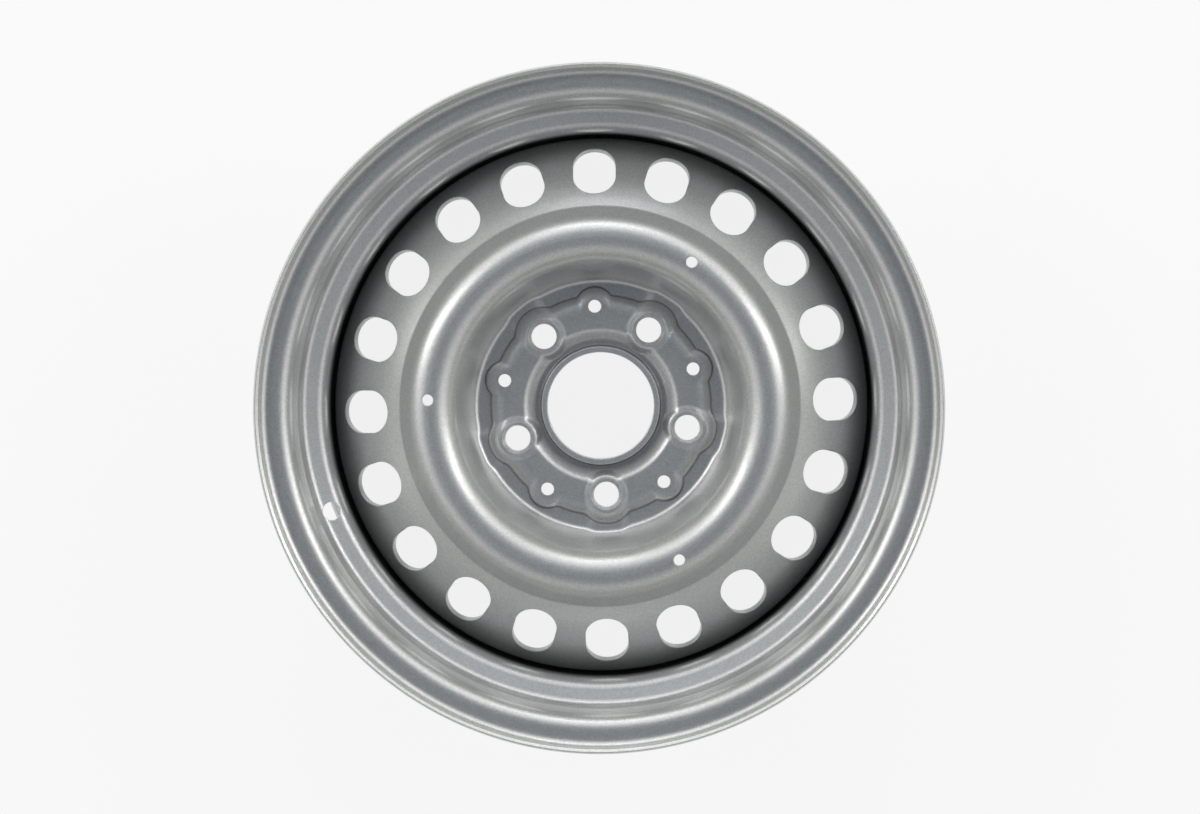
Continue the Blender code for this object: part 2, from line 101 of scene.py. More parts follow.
world = bpy.data.worlds.new("light_tent")
world.use_nodes = True
bpy.context.scene.world = world
tent = world.node_tree
way = tent.nodes.new("ShaderNodeTexCoord")
split = tent.nodes.new("ShaderNodeSeparateXYZ")
tent.links.new(way.outputs["Generated"], split.inputs["Vector"])
bands = tent.nodes.new("ShaderNodeValToRGB")
tent.links.new(split.outputs["Z"], bands.inputs["Fac"])
bands.color_ramp.interpolation = "B_SPLINE"
for position, colour in TENT_BANDS[1:-1]:
    bands.color_ramp.elements.new(position)
for element, (position, colour) in zip(bands.color_ramp.elements, TENT_BANDS):
    element.position = position
    element.color = (*colour, 1.0)

top_side = tent.nodes.new("ShaderNodeMapRange")
top_side.inputs["From Min"].default_value = -1.0
top_side.inputs["To Min"].default_value = 1.0 - BRIGHT_TOP_SHARE
top_side.inputs["To Max"].default_value = 1.0 + BRIGHT_TOP_SHARE
tent.links.new(split.outputs["Y"], top_side.inputs["Value"])
tent_colour = tent.nodes.new("ShaderNodeVectorMath")
tent_colour.operation = "SCALE"
tent.links.new(bands.outputs["Color"], tent_colour.inputs[0])
tent.links.new(top_side.outputs["Result"], tent_colour.inputs["Scale"])
tent_light = tent.nodes["Background"]
tent.links.new(tent_colour.outputs["Vector"], tent_light.inputs["Color"])

backdrop = tent.nodes.new("ShaderNodeBackground")
backdrop.inputs["Color"].default_value = (BACKDROP_WHITE, BACKDROP_WHITE, BACKDROP_WHITE, 1.0)
tent_rays = tent.nodes.new("ShaderNodeLightPath")
seen_tent = tent.nodes.new("ShaderNodeMixShader")
tent.links.new(tent_rays.outputs["Is Camera Ray"], seen_tent.inputs["Fac"])
tent.links.new(tent_light.outputs["Background"], seen_tent.inputs[1])
tent.links.new(backdrop.outputs["Background"], seen_tent.inputs[2])
tent.links.new(seen_tent.outputs["Shader"], tent.nodes["World Output"].inputs["Surface"])


# Soft lamps
# Two long soft boxes stand left and right of the wheel inside the tent, and a weaker bluish one towards the top.
# They give the band its soft peaks, which show as bright arcs on every bend.
LAMP_DISTANCE = 1.6
WARM = (1.0, 0.985, 0.95)
COOL = (0.90, 0.96, 1.0)


def soft_box(name, azimuth, elevation, width, height, power, colour):
    """An area lamp on a dome round the wheel, facing its middle."""
    lamp_data = bpy.data.lights.new(name, "AREA")
    lamp_data.shape = "RECTANGLE"
    lamp_data.size = width
    lamp_data.size_y = height
    lamp_data.energy = power
    lamp_data.color = colour
    lamp = bpy.data.objects.new(name, lamp_data)
    bpy.context.collection.objects.link(lamp)
    azimuth, elevation = math.radians(azimuth), math.radians(elevation)
    lamp.location = Vector((math.cos(elevation) * math.cos(azimuth), math.cos(elevation) * math.sin(azimuth),
                            math.sin(elevation))) * LAMP_DISTANCE
    lamp.rotation_mode = "QUATERNION"
    lamp.rotation_quaternion = (-lamp.location).to_track_quat("-Z", "Z")


soft_box("soft_box_right", 20, 38, 1.0, 0.3, 3.6, WARM)
soft_box("soft_box_left", 155, 38, 1.0, 0.3, 3.6, WARM)
soft_box("soft_box_top", 90, 30, 0.8, 0.3, 1.8, COOL)


# Floor
# A plain white sheet. The camera, and what mirrors it, see it as the white page; it keeps the wheel's shadow.
FLOOR_SIZE = 14.0
FLOOR_COLOUR = (0.86, 0.86, 0.86)
PAGE_WHITE = 1.0
PAGE_SHARE = 0.84

bpy.ops.object.select_all(action="DESELECT")
bpy.ops.mesh.primitive_plane_add(size=FLOOR_SIZE)
floor = bpy.context.object
floor.name = "floor"

paper = bpy.data.materials.new("white_paper")
paper.use_nodes = True
nodes, links = paper.node_tree.nodes, paper.node_tree.links
nodes.clear()
matt = nodes.new("ShaderNodeBsdfDiffuse")
matt.inputs["Color"].default_value = (*FLOOR_COLOUR, 1.0)
page = nodes.new("ShaderNodeEmission")
page.inputs["Color"].default_value = (PAGE_WHITE, PAGE_WHITE, PAGE_WHITE, 1.0)
rays = nodes.new("ShaderNodeLightPath")
seen_or_mirrored = nodes.new("ShaderNodeMath")
seen_or_mirrored.operation = "MAXIMUM"
seen_at_all = nodes.new("ShaderNodeMath")
seen_at_all.operation = "MAXIMUM"
share = nodes.new("ShaderNodeMath")
share.operation = "MULTIPLY"
share.inputs[1].default_value = PAGE_SHARE
mixed = nodes.new("ShaderNodeMixShader")
sheet_out = nodes.new("ShaderNodeOutputMaterial")
links.new(rays.outputs["Is Camera Ray"], seen_or_mirrored.inputs[0])
links.new(rays.outputs["Is Glossy Ray"], seen_or_mirrored.inputs[1])
links.new(seen_or_mirrored.outputs[0], seen_at_all.inputs[0])
links.new(rays.outputs["Is Transmission Ray"], seen_at_all.inputs[1])
links.new(seen_at_all.outputs[0], share.inputs[0])
links.new(share.outputs[0], mixed.inputs["Fac"])
links.new(matt.outputs[0], mixed.inputs[1])
links.new(page.outputs[0], mixed.inputs[2])
links.new(mixed.outputs[0], sheet_out.inputs["Surface"])
floor.data.materials.append(paper)


# Rim
# One strip of sheet steel, rolled into a hoop and roll-formed: curled lips, flanges, tapered bead seats, humps
# and the drop-centre well. The section is drawn as a wire, swept round the axle line and given its thickness.
RIM_SHEET = 0.0026
BEAD_WIDTH = 0.1651
BEAD_SEAT_RADIUS = 0.1901
BEAD_SEAT_TAPER = math.radians(5)
LIP_RADIUS = 0.008
LIP_END = math.radians(40)
HEEL_BEND = 0.0078
HUMP_START = 0.0165
HUMP_CREST = 0.0225
HUMP_RISE = 0.0014
HUMP_BEND = 0.006
LEDGE_WIDTH = 0.030
WELL_DEPTH = 0.016
WELL_WIDTH = 0.054
WELL_SLOPE = math.radians(70)
WELL_BEND = 0.0068
INBOARD_SLOPE = math.radians(44)
INBOARD_BEND = 0.010
INSIDE_BOX = 0.00002
RIM_STEPS = 288
ARC_FACET = math.radians(9)
HOLDING = 0.0004
LONGEST_RUN = 0.009
EDGE_BREAK = 0.0005
EDGE_SEGMENTS = 3
SHEARED_CORNER = math.radians(60)
SMOOTH_UP_TO = math.radians(35)

rim_low, rim_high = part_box("rim")
RIM_RADIUS = rim_high.x - INSIDE_BOX
MID_PLANE = (rim_low.z + rim_high.z) / 2
WELL_LINE = BEAD_SEAT_RADIUS - WELL_DEPTH - RIM_SHEET / 2


def start_wire(name, radius, height):
    """One vertex in edit mode, where a sheet's section line starts."""
    bpy.ops.object.select_all(action="DESELECT")
    bpy.ops.mesh.primitive_plane_add(size=0.01)
    bpy.context.object.name = name
    bpy.ops.object.mode_set(mode="EDIT")
    bpy.context.tool_settings.mesh_select_mode = (True, False, False)
    bpy.ops.mesh.merge(type="CENTER")
    bpy.ops.transform.translate(value=(radius, 0.0, height))


def draw_run(start, end, step=LONGEST_RUN):
    """A straight run of the wire between two (radius, height) places, with a holding vertex close to each end."""
    run = Vector(end) - Vector(start)
    if run.length < 1e-6:
        return
    shares = [1.0]
    if run.length > 4 * HOLDING:
        middle = run.length - 2 * HOLDING
        count = max(1, math.ceil(middle / step))
        shares = [HOLDING / run.length] + [middle / count / run.length] * count + [HOLDING / run.length]
    for part in shares:
        piece = run * part
        bpy.ops.mesh.extrude_vertices_move(TRANSFORM_OT_translate={"value": (piece.x, 0.0, piece.y)})


def draw_bend(centre, turn, facet=ARC_FACET):
    """A round bend of the wire about a centre; a turn above zero goes counter-clockwise in radius and height."""
    bpy.ops.mesh.spin(steps=max(2, math.ceil(abs(turn) / facet)), dupli=False, angle=turn,
                      center=(centre[0], 0.0, centre[1]), axis=(0.0, 1.0, 0.0))


def draw_corners(place, corners, facet=ARC_FACET):
    """Runs and bends of the wire from a place along corners of (radius, height, bend), to the last corner."""
    place = Vector(place)
    for here, after in zip(corners, corners[1:] + [None]):
        corner, bend = Vector(here[:2]), here[2]
        if after is None:
            draw_run(place, corner)
            return
        way_in = (corner - place).normalized()
        way_out = (Vector(after[:2]) - corner).normalized()
        turn = math.atan2(way_in.cross(way_out), way_in.dot(way_out))
        reach = bend * abs(math.tan(turn / 2))
        arc_start = corner - way_in * reach
        draw_run(place, arc_start)
        side = Vector((-way_in.y, way_in.x)) * math.copysign(bend, turn)
        draw_bend(arc_start + side, turn, facet)
        place = corner + way_out * reach


def sweep_sheet(thickness, steps):
    """Sweeps the wire once round the axle line and gives the skin its thickness, half to each side."""
    bpy.ops.mesh.select_all(action="SELECT")
    bpy.ops.mesh.spin(steps=steps, dupli=False, angle=math.tau, center=(0, 0, 0), axis=(0, 0, 1))
    bpy.ops.mesh.select_all(action="SELECT")
    bpy.ops.mesh.remove_doubles(threshold=1e-6)
    bpy.ops.mesh.normals_make_consistent(inside=False)
    bpy.ops.object.mode_set(mode="OBJECT")
    piece = bpy.context.object
    wall = piece.modifiers.new("sheet", "SOLIDIFY")
    wall.thickness = thickness
    wall.offset = 0.0
    wall.use_even_offset = True
    bpy.ops.object.modifier_apply(modifier="sheet")
    return piece


def break_sharp_edges(piece, width, is_sheared):
    """Rounds a sheet's sheared edges a little, as tumbling leaves them; is_sheared tests a place."""
    bpy.ops.object.mode_set(mode="EDIT")
    bpy.context.tool_settings.mesh_select_mode = (False, True, False)
    bpy.ops.mesh.select_all(action="DESELECT")
    bpy.ops.mesh.edges_select_sharp(sharpness=SHEARED_CORNER)
    bpy.ops.object.mode_set(mode="OBJECT")
    points = piece.data.vertices
    for edge in piece.data.edges:
        edge.select = edge.select and all(is_sheared(points[end].co) for end in edge.vertices)
    bpy.ops.object.mode_set(mode="EDIT")
    bpy.ops.mesh.bevel(offset=width, offset_type="OFFSET", segments=EDGE_SEGMENTS, profile=0.5, affect="EDGES")
    bpy.ops.mesh.select_all(action="SELECT")
    bpy.ops.mesh.normals_make_consistent(inside=False)
    bpy.ops.object.mode_set(mode="OBJECT")


def settle_normals(piece):
    """Shades the piece smooth up to its sharp edges, with flat faces kept flat beside the small roundings."""
    bpy.ops.object.shade_smooth_by_angle(angle=SMOOTH_UP_TO)
    piece.modifiers.new("even_shading", "WEIGHTED_NORMAL").keep_sharp = True
    bpy.ops.object.modifier_apply(modifier="even_shading")


def seat_line(distance):
    """Middle-line radius of the bead seat at a distance from the flange's tyre face."""
    return BEAD_SEAT_RADIUS - RIM_SHEET / 2 - distance * math.tan(BEAD_SEAT_TAPER)


LIP_LINE = LIP_RADIUS - RIM_SHEET / 2
lip_centre = RIM_RADIUS - LIP_RADIUS
face = BEAD_WIDTH / 2
lip_height = face + LIP_RADIUS
flange_line = face + RIM_SHEET / 2
hump_line = seat_line(HUMP_CREST) + HUMP_RISE
ledge = face - LEDGE_WIDTH
well_top = ledge - (hump_line - WELL_LINE) / math.tan(WELL_SLOPE)
well_end = well_top - WELL_WIDTH
slope_line = seat_line(LEDGE_WIDTH)
slope_foot = well_end - (slope_line - WELL_LINE) / math.tan(INBOARD_SLOPE)


def bead_side(side):
    """Flange corner, bead seat and hump of the outboard (1) or inboard (-1) side, going inboard."""
    corners = [
        (seat_line(0), MID_PLANE + side * flange_line, HEEL_BEND),
        (seat_line(HUMP_START), MID_PLANE + side * (face - HUMP_START), HUMP_BEND),
        (hump_line, MID_PLANE + side * (face - HUMP_CREST), HUMP_BEND),
    ]
    return corners[::side]


start_wire("wheel_rim", lip_centre + LIP_LINE * math.cos(LIP_END),
           MID_PLANE + lip_height + LIP_LINE * math.sin(LIP_END))
draw_bend((lip_centre, MID_PLANE + lip_height), -LIP_END - math.pi / 2)
draw_corners((lip_centre, MID_PLANE + flange_line), bead_side(1) + [
    (hump_line, MID_PLANE + ledge, WELL_BEND),
    (WELL_LINE, MID_PLANE + well_top, WELL_BEND),
    (WELL_LINE, MID_PLANE + well_end, INBOARD_BEND),
    (slope_line, MID_PLANE + slope_foot, INBOARD_BEND),
    (slope_line, MID_PLANE - face + LEDGE_WIDTH, HUMP_BEND),
] + bead_side(-1) + [(lip_centre, MID_PLANE - flange_line, 0.0)])
draw_bend((lip_centre, MID_PLANE - lip_height), -LIP_END - math.pi / 2)
wheel_rim = sweep_sheet(RIM_SHEET, RIM_STEPS)
break_sharp_edges(wheel_rim, EDGE_BREAK, lambda place: True)


# Valve hole
# One round hole for the valve, pierced through the outboard wall of the well before the hoop is welded.
VALVE_HOLE_RADIUS = 0.00565
VALVE_HOLE_ANGLE = math.radians(201.4)
VALVE_HOLE_LIP = 0.0003
VALVE_HOLE_OVER = 0.004
VALVE_HOLE_FACETS = 48
LIP_FACETS = 3


def turned_punch(name, profile, facets, place):
    """A turned punch: a disc drawn up ring by ring along (radius, height), then set in place."""
    bpy.ops.object.select_all(action="DESELECT")
    radius, height = profile[0]
    bpy.ops.mesh.primitive_circle_add(vertices=facets, radius=radius, fill_type="NGON")
    punch = bpy.context.object
    punch.name = name
    bpy.ops.object.mode_set(mode="EDIT")
    bpy.ops.transform.translate(value=(0, 0, height))
    for next_radius, next_height in profile[1:]:
        bpy.ops.mesh.extrude_region_move(TRANSFORM_OT_translate={"value": (0, 0, next_height - height)})
        grow = next_radius / radius
        bpy.ops.transform.resize(value=(grow, grow, 1.0), center_override=(0, 0, 0))
        radius, height = next_radius, next_height
    bpy.ops.mesh.select_all(action="SELECT")
    bpy.ops.mesh.normals_make_consistent(inside=False)
    bpy.ops.object.mode_set(mode="OBJECT")
    punch.data.transform(place)
    return punch


def cut(piece, punch, operation="DIFFERENCE"):
    """Punches one solid out of another, and takes the punch away."""
    bpy.ops.object.select_all(action="DESELECT")
    bpy.context.view_layer.objects.active = piece
    piece.select_set(True)
    step = piece.modifiers.new("cut", "BOOLEAN")
    step.operation = operation
    step.solver = "EXACT"
    step.object = punch
    bpy.ops.object.modifier_apply(modifier="cut")
    bpy.data.objects.remove(punch)


def lipped_profile(radius, low, high, lip, over):
    """Outline of a punch that leaves a small round lip at both faces, low and high, of the sheet."""
    profile = [(radius + lip, low - over), (radius + lip, low)]
    for i in range(1, LIP_FACETS + 1):
        turn = math.pi / 2 * i / LIP_FACETS
        profile.append((radius + lip * (1 - math.sin(turn)), low + lip * (1 - math.cos(turn))))
    for i in range(LIP_FACETS + 1):
        turn = math.pi / 2 * i / LIP_FACETS
        profile.append((radius + lip * (1 - math.cos(turn)), high - lip * (1 - math.sin(turn))))
    profile.append((radius + lip, high + over))
    return profile


valve_radius = (hump_line + WELL_LINE) / 2
valve_height = MID_PLANE + (ledge + well_top) / 2
valve_place = (Matrix.Rotation(VALVE_HOLE_ANGLE, 4, "Z") @ Matrix.Translation((valve_radius, 0, valve_height))
               @ Matrix.Rotation(WELL_SLOPE - math.pi / 2, 4, "Y"))
valve_profile = lipped_profile(VALVE_HOLE_RADIUS, -RIM_SHEET / 2, RIM_SHEET / 2, VALVE_HOLE_LIP, VALVE_HOLE_OVER)
cut(wheel_rim, turned_punch("valve_punch", valve_profile, VALVE_HOLE_FACETS, valve_place))
settle_normals(wheel_rim)


# Silver paint, with painted shade
# Silver metallic wheel paint, baked: fine aluminium flake under a thin clear coat. It is sprayed on the whole
# wheel after welding, so every piece has it. Painted shade darkens its colour in the crevices, the hub's groove
# and along the plateau's foot and flank, where shade falls.
SILVER = (0.61, 0.62, 0.615)
METAL_SHARE = 0.72
COAT_WEIGHT = 0.30
COAT_ROUGHNESS = 0.13
FLAKE_SCALE = 1500
FLAKE_TONE = (0.90, 1.10)
FLAKE_ROUGHNESS = (0.32, 0.42)
CLOUD_SCALE = 9
CLOUD_TONE = (0.97, 1.03)
PEEL_SCALE = 260
PEEL_STRENGTH = 0.10
PEEL_DEPTH = 0.0002
# Painted shade: the share of the paint's colour left where a point is fully shaded.
PAINTED_SHADE_SHARE = 0.02


def ease(value):
    """A soft step from 0 to 1."""
    value = min(max(value, 0.0), 1.0)
    return value * value * (3 - 2 * value)


def mark_painted_shade(piece, shade_at):
    """Marks each point of a piece with painted shade, from 0 in the open to 1 where the paint is darkened most."""
    marks = piece.data.attributes.new("painted_shade", "FLOAT", "POINT")
    for point, mark in zip(piece.data.vertices, marks.data):
        outward = point.normal.xy.dot(point.co.xy) / point.co.xy.length
        mark.value = shade_at(point.co, outward, point.normal.z)


def silver_paint(name):
    """The paint, with flake, orange peel, a faint unevenness of the spray, and painted shade where points are
    marked.
    """
    paint = bpy.data.materials.new(name)
    paint.use_nodes = True
    nodes, links = paint.node_tree.nodes, paint.node_tree.links
    shader = nodes["Principled BSDF"]
    shader.inputs["Metallic"].default_value = METAL_SHARE
    shader.inputs["Coat Weight"].default_value = COAT_WEIGHT
    shader.inputs["Coat Roughness"].default_value = COAT_ROUGHNESS
    place = nodes.new("ShaderNodeTexCoord")

    flake = nodes.new("ShaderNodeTexVoronoi")
    flake.inputs["Scale"].default_value = FLAKE_SCALE
    links.new(place.outputs["Object"], flake.inputs["Vector"])
    glint = nodes.new("ShaderNodeSeparateColor")
    links.new(flake.outputs["Color"], glint.inputs["Color"])

    cloud = nodes.new("ShaderNodeTexNoise")
    cloud.inputs["Scale"].default_value = CLOUD_SCALE
    cloud.inputs["Detail"].default_value = 3.0
    links.new(place.outputs["Object"], cloud.inputs["Vector"])

    tone = nodes.new("ShaderNodeMapRange")
    tone.inputs["To Min"].default_value, tone.inputs["To Max"].default_value = FLAKE_TONE
    links.new(glint.outputs["Red"], tone.inputs["Value"])
    drift = nodes.new("ShaderNodeMapRange")
    drift.inputs["From Min"].default_value = 0.3
    drift.inputs["From Max"].default_value = 0.7
    drift.inputs["To Min"].default_value, drift.inputs["To Max"].default_value = CLOUD_TONE
    links.new(cloud.outputs["Fac"], drift.inputs["Value"])
    both = nodes.new("ShaderNodeMath")
    both.operation = "MULTIPLY"
    links.new(tone.outputs["Result"], both.inputs[0])
    links.new(drift.outputs["Result"], both.inputs[1])
    # Painted shade: the colour is darkened towards black by each point's shade mark.
    painted_shade = nodes.new("ShaderNodeAttribute")
    painted_shade.attribute_name = "painted_shade"
    shade_factor = nodes.new("ShaderNodeMapRange")
    shade_factor.inputs["To Min"].default_value = 1.0
    shade_factor.inputs["To Max"].default_value = PAINTED_SHADE_SHARE
    links.new(painted_shade.outputs["Fac"], shade_factor.inputs["Value"])
    with_painted_shade = nodes.new("ShaderNodeMath")
    with_painted_shade.operation = "MULTIPLY"
    links.new(both.outputs[0], with_painted_shade.inputs[0])
    links.new(shade_factor.outputs["Result"], with_painted_shade.inputs[1])
    colour = nodes.new("ShaderNodeVectorMath")
    colour.operation = "SCALE"
    colour.inputs[0].default_value = SILVER
    links.new(with_painted_shade.outputs[0], colour.inputs["Scale"])
    links.new(colour.outputs["Vector"], shader.inputs["Base Color"])

    dull = nodes.new("ShaderNodeMapRange")
    dull.inputs["To Min"].default_value, dull.inputs["To Max"].default_value = FLAKE_ROUGHNESS
    links.new(glint.outputs["Green"], dull.inputs["Value"])
    links.new(dull.outputs["Result"], shader.inputs["Roughness"])

    peel = nodes.new("ShaderNodeTexNoise")
    peel.inputs["Scale"].default_value = PEEL_SCALE
    peel.inputs["Detail"].default_value = 1.0
    links.new(place.outputs["Object"], peel.inputs["Vector"])
    relief = nodes.new("ShaderNodeBump")
    relief.inputs["Strength"].default_value = PEEL_STRENGTH
    relief.inputs["Distance"].default_value = PEEL_DEPTH
    links.new(peel.outputs["Fac"], relief.inputs["Height"])
    links.new(relief.outputs["Normal"], shader.inputs["Normal"])
    return paint


# Painted shade on the rim: the well's inner wall is darkened from a little below its outboard bend, fading in
# downwards.
SHADE_BELOW_WELL_TOP = 0.007
SHADE_FADE = 0.005
shade_top = MID_PLANE + well_top - SHADE_BELOW_WELL_TOP


def rim_painted_shade(place, outward, upward):
    """Painted shade on the rim's side: the well's inner wall, darkened from a little below its outboard bend."""
    if outward < 0 and place.xy.length < WELL_LINE:
        return ease((shade_top - place.z) / SHADE_FADE)
    return 0.0


# Paints shade into the rim's well wall.
mark_painted_shade(wheel_rim, rim_painted_shade)
wheel_rim.data.materials.append(silver_paint("silver_paint_rim"))
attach(wheel_rim, "root")
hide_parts("rim")


# Wheel disc
# One thick steel plate, blanked, drawn and pierced: the bore's turned-up collar, the scalloped hub plateau with
# its bolt bosses, the bowl, the hat ring, the vented cone and the flange that is pressed into the rim's well.
DISC_SHEET = 0.0036
DISC_HALF = DISC_SHEET / 2
BORE_RADIUS = 0.0333
COLLAR_HEIGHT = 0.0122
COLLAR_BEND = 0.0039
SMALL_CIRCLE = 0.0623
SMALL_LOBE = 0.0123
CHANNEL_GAP = 0.0016
BOWL_BEND = 0.0058
BOWL_WALL = math.radians(74)
HAT_HEIGHT = 0.0455
HAT_BEND = 0.0139
HAT_FLAT = 0.0004
HAT_OUTER = math.radians(53)
HAT_DROP = 0.0120
CREASE_BEND = 0.0070
CONE_DOME = math.radians(5)
DOME_RADIUS = 0.230
CREST_TO_SHOULDER = 0.0540
DOME_HEIGHT = 0.0009
FINE_FACET = math.radians(7.5)
SHOULDER_BEND = 0.0070
FIT_GAP = 0.0003
DISC_STEPS = 220
HUB_STEP = 0.00124

disc_low, disc_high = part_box("wheel_disc")
HUB_FACE = disc_high.z - HAT_HEIGHT
hub_line = HUB_FACE + DISC_HALF
crest_line = HUB_FACE + HAT_HEIGHT - DISC_HALF
collar_line = BORE_RADIUS + DISC_HALF
channel_end = SMALL_CIRCLE + SMALL_LOBE + CHANNEL_GAP
bowl_foot = channel_end + BOWL_BEND * math.tan(BOWL_WALL / 2)
hat_inner = bowl_foot + (crest_line - hub_line) / math.tan(BOWL_WALL)
hat_outer = hat_inner + HAT_BEND * (math.tan(BOWL_WALL / 2) + math.tan(HAT_OUTER / 2)) + HAT_FLAT
crease = hat_outer + HAT_DROP / math.tan(HAT_OUTER)
flange_radius = WELL_LINE - RIM_SHEET / 2 - FIT_GAP - DISC_HALF
shoulder = crest_line - CREST_TO_SHOULDER
flange_end = disc_low.z
cone_run = Vector((flange_radius - crease, crest_line - HAT_DROP - shoulder))
CONE = math.atan2(cone_run.y, cone_run.x)
groove_start = collar_line + COLLAR_BEND

dome_radius = (crease + flange_radius) / 2
dome_height = shoulder + cone_run.y / 2 + DOME_HEIGHT


def on_cone(down, out=0.0):
    """A place (radius, height) on the gently domed cone: down from its middle, and out from its middle line."""
    lean = CONE + min(max(down / DOME_RADIUS, -CONE_DOME), CONE_DOME)
    arc = Vector((math.sin(lean) - math.sin(CONE), math.cos(lean) - math.cos(CONE))) * DOME_RADIUS
    beyond = down - (lean - CONE) * DOME_RADIUS
    straight = Vector((math.cos(lean), -math.sin(lean))) * beyond
    return Vector((dome_radius, dome_height)) + arc + straight + Vector((math.sin(lean), math.cos(lean))) * out


dome_start = on_cone(-CONE_DOME * DOME_RADIUS)
dome_end = on_cone(CONE_DOME * DOME_RADIUS)
crease_run = dome_start - Vector((hat_outer, crest_line))
crease_share = ((crease_run.y * math.cos(CONE - CONE_DOME) + crease_run.x * math.sin(CONE - CONE_DOME))
                / -math.sin(HAT_OUTER - CONE + CONE_DOME))
hat_way = Vector((math.cos(HAT_OUTER), -math.sin(HAT_OUTER)))
crease_corner = Vector((hat_outer, crest_line)) + hat_way * crease_share
shoulder_corner = dome_end.y - (flange_radius - dome_end.x) * math.tan(CONE + CONE_DOME)

start_wire("pressed_disc", collar_line, HUB_FACE + COLLAR_HEIGHT)
draw_run((collar_line, HUB_FACE + COLLAR_HEIGHT), (collar_line, hub_line + COLLAR_BEND))
draw_bend((collar_line + COLLAR_BEND, hub_line + COLLAR_BEND), math.pi / 2)
draw_run((groove_start, hub_line), (channel_end, hub_line), HUB_STEP)
draw_bend((channel_end, hub_line + BOWL_BEND), BOWL_WALL)
bowl_side = Vector((math.cos(BOWL_WALL), math.sin(BOWL_WALL))) * BOWL_BEND * math.tan(BOWL_WALL / 2)
draw_corners(Vector((bowl_foot, hub_line)) + bowl_side, [
    (hat_inner, crest_line, HAT_BEND),
    (hat_outer, crest_line, HAT_BEND),
    (*crease_corner, CREASE_BEND),
    (*dome_start, 0.0),
], FINE_FACET)
dome_out = Vector((math.sin(CONE - CONE_DOME), math.cos(CONE - CONE_DOME)))
draw_bend(dome_start - dome_out * DOME_RADIUS, -2 * CONE_DOME, CONE_DOME / 3)
draw_corners(dome_end, [
    (flange_radius, shoulder_corner, SHOULDER_BEND),
    (flange_radius, flange_end, 0.0),
], FINE_FACET)
pressed_disc = sweep_sheet(DISC_SHEET, DISC_STEPS)


# Hub pressing
# The press raises the plateau with its scallops, low bridges from the bolt lobes to the bowl's wall, and the
# bosses. The flat hub's rings are first spread to follow the scalloped outline, then everything is pushed up.
GROOVE_WIDTH = 0.0014
GROOVE_SLOPE_WIDTH = 0.0090
PLATEAU_RADIUS = 0.0693
PLATEAU_RISE = 0.0040
PLATEAU_FLANK = 0.0115
CROWN_START = 2.0
CROWN_END = 0.66
CUSP_ROUND = 0.0012
BOLT_COUNT = 5
BOLT_CIRCLE = 0.056
FIRST_BOLT = math.radians(57.54)
BOLT_LOBE = 0.0184
BOSS_RADIUS = 0.0146
BOSS_STEP_WIDTH = 0.0034
BOSS_FLANK = 0.0052
BOSS_STEP = 0.0006
BOSS_RISE = 0.0010
SEAT_RADIUS = 0.0097
BRIDGE_HALF_ANGLE = math.radians(5.5)
BRIDGE_HEIGHT = 0.0010
FOOT_BULGE = 0.0016
BULGE_HEIGHT = 0.010


def soft_greatest(first, second, rounding):
    """The greater of two lengths, with the change from one to the other rounded."""
    blend = max(rounding - abs(first - second), 0.0) / rounding
    return max(first, second) + blend * blend * rounding / 4


def lobe_reach(offset, circle, lobe):
    """How far out a round lobe reaches at an angle from its own centre line."""
    side = circle * math.sin(offset)
    if abs(side) >= lobe:
        return 0.0
    return circle * math.cos(offset) + math.sqrt(lobe * lobe - side * side)


def from_bolt(angle):
    """Angle from the nearest bolt hole's centre line."""
    return math.remainder(angle - FIRST_BOLT, math.tau / BOLT_COUNT)


def plateau_outline(angle):
    """Foot of the plateau's flank: a round with a lobe at every bolt hole and every small hole."""
    offset = from_bolt(angle)
    bolt_lobe = lobe_reach(offset, BOLT_CIRCLE, BOLT_LOBE)
    small_lobe = lobe_reach(math.pi / BOLT_COUNT - abs(offset), SMALL_CIRCLE, SMALL_LOBE)
    return soft_greatest(soft_greatest(PLATEAU_RADIUS, bolt_lobe, CUSP_ROUND), small_lobe, CUSP_ROUND)


def spread(radius, angle):
    """Where a ring of the flat hub goes, so that rings run along the plateau's flank."""
    start = PLATEAU_RADIUS - 2 * PLATEAU_FLANK
    top = PLATEAU_RADIUS - PLATEAU_FLANK
    shift = plateau_outline(angle) - PLATEAU_RADIUS
    if radius <= PLATEAU_RADIUS:
        return radius + shift * ease((radius - start) / (top - start))
    return radius + shift * max(channel_end - radius, 0.0) / (channel_end - PLATEAU_RADIUS)


def crown(down):
    """Share of the plateau's height on its crowned flank, where down runs from 0 at its top to 1 at its foot."""
    down = min(max(down, 0.0), 1.0)
    return (1 - down ** CROWN_START) ** CROWN_END


def bridge(offset):
    """Share of the bridge that joins a bolt hole's lobe to the bowl's wall."""
    return ease(2 - abs(offset) / BRIDGE_HALF_ANGLE)


def hub_relief(radius, angle):
    """How far the press pushes the hub up at a place."""
    slope_start = groove_start + GROOVE_WIDTH
    inner = ease((radius - slope_start) / GROOVE_SLOPE_WIDTH)
    outline = plateau_outline(angle)
    plateau = PLATEAU_RISE * inner * crown(1 - (outline - radius) / PLATEAU_FLANK)
    offset = from_bolt(angle)
    if radius > BOLT_CIRCLE:
        beyond = ease((channel_end + 2 * BOWL_BEND - radius) / (2 * BOWL_BEND))
        plateau = max(plateau, BRIDGE_HEIGHT * beyond * bridge(offset))
    to_bolt = math.hypot(radius * math.cos(offset) - BOLT_CIRCLE, radius * math.sin(offset))
    step = BOSS_STEP * ease((BOSS_RADIUS - to_bolt) / BOSS_STEP_WIDTH)
    top_run = BOSS_RADIUS - BOSS_STEP_WIDTH - SEAT_RADIUS
    top = (BOSS_RISE - BOSS_STEP) * min(max((BOSS_RADIUS - BOSS_STEP_WIDTH - to_bolt) / top_run, 0.0), 1.0)
    level = max(plateau, PLATEAU_RISE * ease((BOSS_RADIUS + BOSS_STEP_WIDTH / 2 - to_bolt) / BOSS_FLANK))
    return level + step + top


